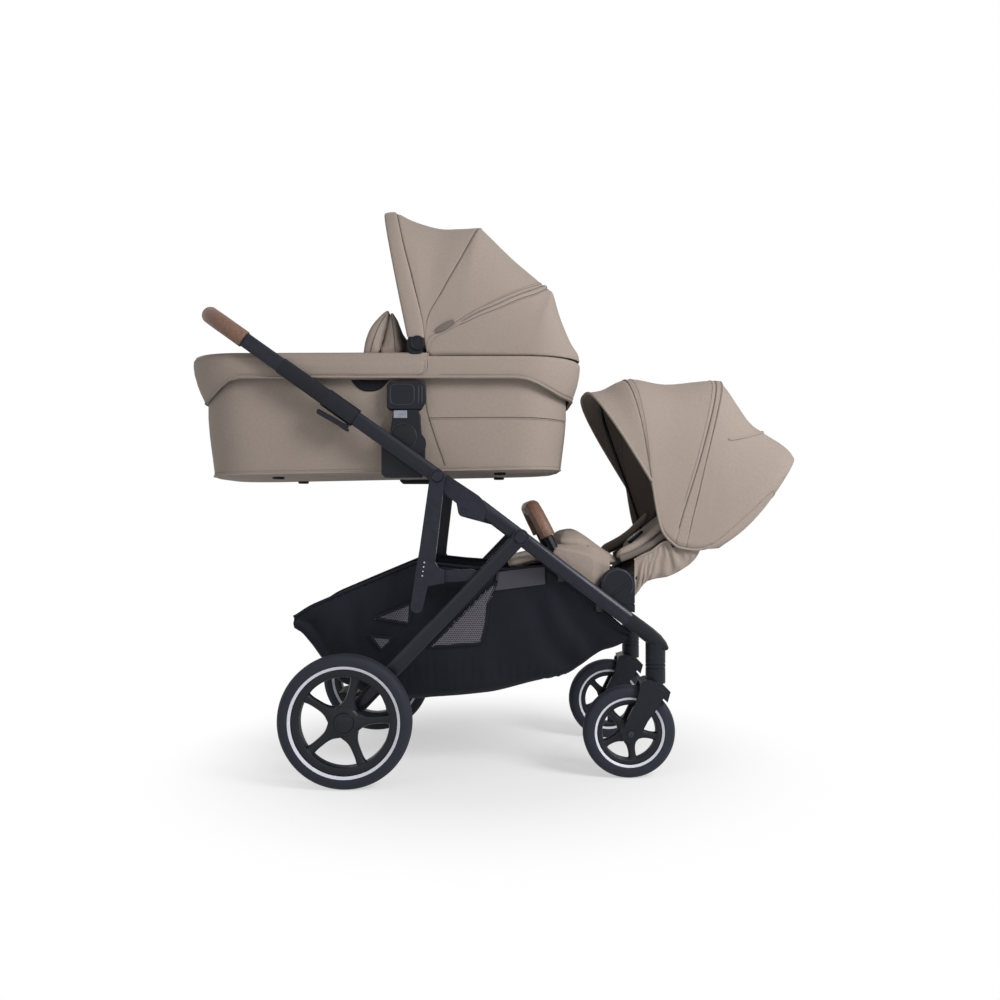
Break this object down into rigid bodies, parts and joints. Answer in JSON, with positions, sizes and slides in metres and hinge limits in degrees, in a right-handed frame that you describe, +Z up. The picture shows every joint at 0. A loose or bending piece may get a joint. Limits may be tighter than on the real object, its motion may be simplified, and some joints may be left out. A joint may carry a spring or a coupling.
{
  "type": "stroller",
  "caption": "Folding two-level stroller: carrycot with apron and hood on top, parent-facing seat with hood below, mesh shopping basket, swivel front wheels.",
  "frame": {"origin": "on the floor, on the mid plane, below the middle of the overall length", "axes": "+X towards the front swivel wheels, +Y to the stroller's left, +Z up; the pictured side is -Y"},
  "size_m": [1.4056, 0.591, 1.3057],
  "materials": {
    "frame": "satin dark paint",
    "plastic": "satin",
    "button": "satin grey",
    "tyre": "matte foam-filled tyre",
    "rim": "satin",
    "leatherette": "stitched leatherette, fine grain",
    "taupe": "melange weave",
    "basket": "plain dark weave",
    "steel": "satin"
  },
  "bodies": {
    "front_frame": {"front_tube_R": "frame", "front_tube_L": "frame", "front_knuckle_R": "frame", "front_knuckle_L": "frame", "front_cross_tube": "frame", "hinge_cross_tube": "frame", "seat_adapter_R": "plastic", "seat_adapter_L": "plastic", "basket": "basket"},
    "upper_frame": {"upper_tube_R": "frame", "upper_tube_L": "frame", "height_sleeve_R": "frame", "height_sleeve_L": "frame", "cot_adapter_R": "plastic", "cot_adapter_L": "plastic"},
    "handle": {"handle_tube": "frame", "handle_grip": "leatherette"},
    "rear_legs": {"rear_leg_R": "frame", "rear_leg_L": "frame", "rear_axle_tube": "frame"},
    "brake": {"brake_pedal": "plastic"},
    "swing_arms": {"swing_arm_R": "frame", "swing_arm_L": "frame"},
    "carrycot": {"cot_tub": "taupe", "cot_apron": "taupe", "cot_flap": "taupe", "cot_mattress": "basket", "cot_latch_R": "plastic", "cot_latch_L": "plastic", "cot_canopy": "taupe"},
    "cot_front_bow": {"cot_front_bow": "steel"},
    "cot_mid_bow": {"cot_mid_bow": "steel"},
    "seat": {"seat_frame": "frame", "seat_hub_R": "plastic", "seat_hub_L": "plastic", "seat_cushion": "taupe"},
    "leg_rest": {"leg_rest": "taupe"},
    "bumper": {"bumper_bar": "plastic", "bumper_grip": "leatherette"},
    "backrest": {"backrest_frame": "frame", "backrest_pad": "taupe", "backrest_shell": "taupe", "harness": "basket", "seat_canopy": "taupe"},
    "seat_front_bow": {"seat_front_bow": "steel"},
    "seat_mid_bow": {"seat_mid_bow": "steel"},
    "fold_lever_R": {"fold_lever_R": "plastic"},
    "adapter_button_R": {"adapter_button_R": "button"},
    "rear_wheel_R": {"rear_tyre_R": "tyre", "rear_rim_R": "rim"},
    "caster_R": {"caster_fork_R": "plastic"},
    "front_wheel_R": {"front_tyre_R": "tyre", "front_rim_R": "rim"},
    "fold_lever_L": {"fold_lever_L": "plastic"},
    "adapter_button_L": {"adapter_button_L": "button"},
    "rear_wheel_L": {"rear_tyre_L": "tyre", "rear_rim_L": "rim"},
    "caster_L": {"caster_fork_L": "plastic"},
    "front_wheel_L": {"front_tyre_L": "tyre", "front_rim_L": "rim"}
  },
  "joints": [
    {"name": "fold", "type": "hinge", "parent": "front_frame", "child": "upper_frame", "pos_m": [-0.06141, 0, 0.59696], "axis": [0, -1, 0], "range_deg": [0, 30]},
    {"name": "leg_fold", "type": "hinge", "parent": "front_frame", "child": "rear_legs", "pos_m": [0.0621, 0, 0.53917], "axis": [0, -1, 0], "range_deg": [0, 10.3]},
    {"name": "arm_fold", "type": "hinge", "parent": "upper_frame", "child": "swing_arms", "pos_m": [-0.11892, 0, 0.67157], "axis": [0, -1, 0], "range_deg": [-17.6, 0]},
    {"name": "handle_height", "type": "slide", "parent": "upper_frame", "child": "handle", "axis": [-0.8151, 0, 0.5793], "range_m": [-0.045, 0.06]},
    {"name": "brake", "type": "hinge", "parent": "rear_legs", "child": "brake", "pos_m": [-0.316, 0, 0.145], "axis": [0, -1, 0], "range_deg": [0, 20]},
    {"name": "fold_lever_R", "type": "hinge", "parent": "upper_frame", "child": "fold_lever_R", "pos_m": [-0.3221, -0.224, 0.78099], "axis": [0, 1, 0], "range_deg": [0, 5], "stiffness_Nm_per_rad": 2},
    {"name": "rear_wheel_spin_R", "type": "hinge", "parent": "rear_legs", "child": "rear_wheel_R", "pos_m": [-0.316, -0.2745, 0.145], "axis": [0, 1, 0], "continuous": true},
    {"name": "caster_swivel_R", "type": "hinge", "parent": "front_frame", "child": "caster_R", "pos_m": [0.367, -0.185, 0.2655], "axis": [0, 0, 1], "continuous": true},
    {"name": "front_wheel_spin_R", "type": "hinge", "parent": "caster_R", "child": "front_wheel_R", "pos_m": [0.307, -0.185, 0.103], "axis": [0, 1, 0], "continuous": true},
    {"name": "adapter_button_R", "type": "slide", "parent": "upper_frame", "child": "adapter_button_R", "axis": [0, 1, 0], "range_m": [0, 0.003], "stiffness_N_per_m": 400},
    {"name": "fold_lever_L", "type": "hinge", "parent": "upper_frame", "child": "fold_lever_L", "pos_m": [-0.3221, 0.224, 0.78099], "axis": [0, 1, 0], "range_deg": [0, 5], "stiffness_Nm_per_rad": 2},
    {"name": "rear_wheel_spin_L", "type": "hinge", "parent": "rear_legs", "child": "rear_wheel_L", "pos_m": [-0.316, 0.2745, 0.145], "axis": [0, 1, 0], "continuous": true},
    {"name": "caster_swivel_L", "type": "hinge", "parent": "front_frame", "child": "caster_L", "pos_m": [0.367, 0.185, 0.2655], "axis": [0, 0, 1], "continuous": true},
    {"name": "front_wheel_spin_L", "type": "hinge", "parent": "caster_L", "child": "front_wheel_L", "pos_m": [0.307, 0.185, 0.103], "axis": [0, 1, 0], "continuous": true},
    {"name": "adapter_button_L", "type": "slide", "parent": "upper_frame", "child": "adapter_button_L", "axis": [0, -1, 0], "range_m": [0, 0.003], "stiffness_N_per_m": 400},
    {"name": "carrycot_lift", "type": "slide", "parent": "upper_frame", "child": "carrycot", "axis": [0, 0, 1], "range_m": [0, 0.028]},
    {"name": "cot_hood", "type": "hinge", "parent": "carrycot", "child": "cot_front_bow", "pos_m": [-0.166, 0, 0.971], "axis": [0, 1, 0], "range_deg": [0, 70], "deforming": ["cot_canopy"]},
    {"name": "cot_mid_bow", "type": "hinge", "parent": "carrycot", "child": "cot_mid_bow", "pos_m": [-0.166, 0, 0.971], "axis": [0, 1, 0], "range_deg": [0, 35]},
    {"name": "seat_lift", "type": "slide", "parent": "front_frame", "child": "seat", "axis": [0, 0, 1], "range_m": [0, 0.05]},
    {"name": "leg_rest", "type": "hinge", "parent": "seat", "child": "leg_rest", "pos_m": [0.15, 0, 0.5], "axis": [0, -1, 0], "range_deg": [0, 45]},
    {"name": "bumper", "type": "hinge", "parent": "seat", "child": "bumper", "pos_m": [0.168, 0, 0.4536], "axis": [0, -1, 0], "range_deg": [0, 20]},
    {"name": "recline", "type": "hinge", "parent": "seat", "child": "backrest", "pos_m": [0.3032, 0, 0.433], "axis": [0, 1, 0], "range_deg": [0, 20]},
    {"name": "seat_hood", "type": "hinge", "parent": "backrest", "child": "seat_front_bow", "pos_m": [0.412, 0, 0.514], "axis": [0, 1, 0], "range_deg": [0, 60], "deforming": ["seat_canopy"]},
    {"name": "seat_mid_bow", "type": "hinge", "parent": "backrest", "child": "seat_mid_bow", "pos_m": [0.412, 0, 0.514], "axis": [0, 1, 0], "range_deg": [0, 27]}
  ],
  "couplings": [
    {"joint": "leg_fold", "follows": "fold", "ratio": 0.342},
    {"joint": "arm_fold", "follows": "fold", "ratio": -0.583},
    {"joint": "cot_mid_bow", "follows": "cot_hood", "ratio": 0.5},
    {"joint": "seat_mid_bow", "follows": "seat_hood", "ratio": 0.45}
  ]
}
